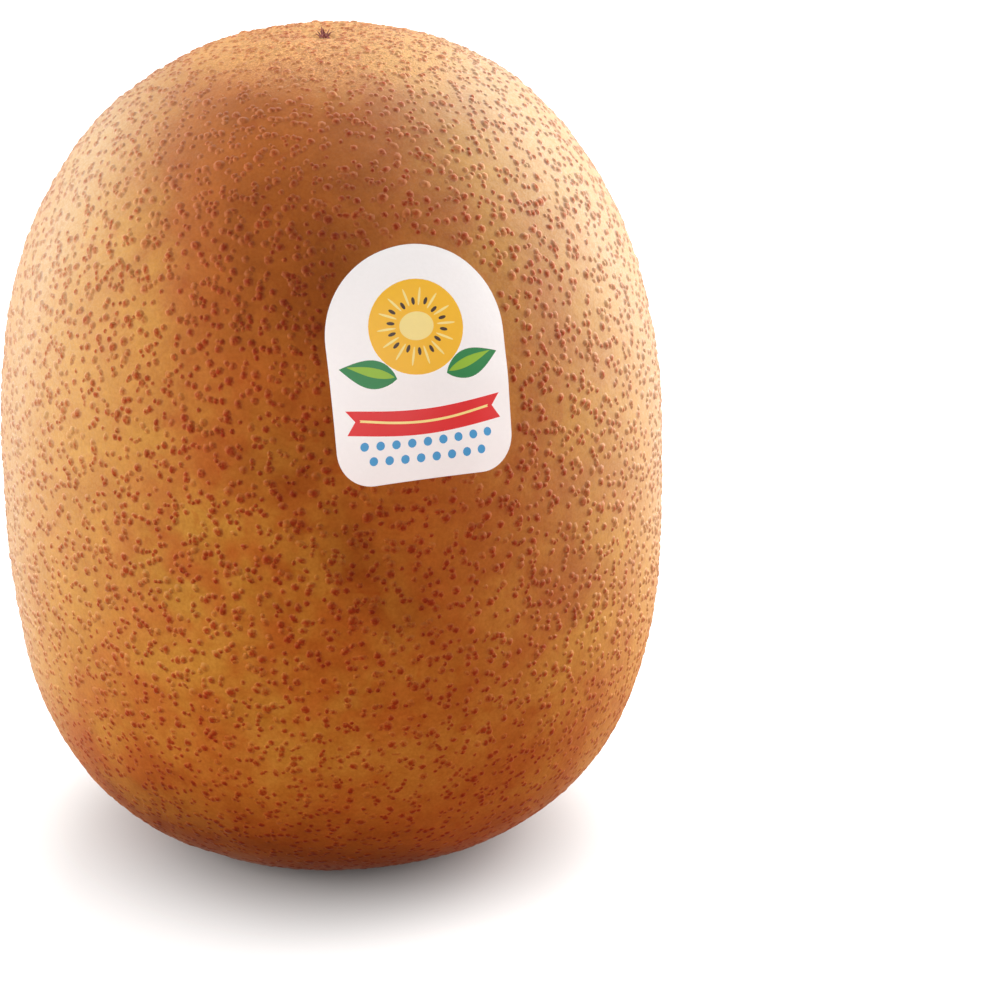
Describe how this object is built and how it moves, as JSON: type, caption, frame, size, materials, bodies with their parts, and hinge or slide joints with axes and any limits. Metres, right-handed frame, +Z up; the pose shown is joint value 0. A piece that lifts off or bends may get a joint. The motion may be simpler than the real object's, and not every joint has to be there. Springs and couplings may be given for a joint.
{
  "type": "golden kiwi fruit",
  "caption": "Whole smooth-skinned golden kiwi fruit with raised skin pores, a dried flower tuft, a stalk scar and a plain fruit label, standing on its stem end.",
  "frame": {"origin": "middle of the flat rest spot at the stem end, where the stalk grew", "axes": "+Z up along the fruit's core to the blossom end, +X along its widest girth, and the label faces -Y"},
  "size_m": [0.0599, 0.0581, 0.0747],
  "materials": {
    "kiwi_skin": "satin",
    "dried_flower": "matte",
    "stalk_scar": "matte",
    "label_paper": "gloss"
  },
  "bodies": {
    "root": {"kiwi_fruit": "kiwi_skin", "dried_styles": "dried_flower", "stem_scar": "stalk_scar", "fruit_label": "label_paper"}
  },
  "joints": []
}
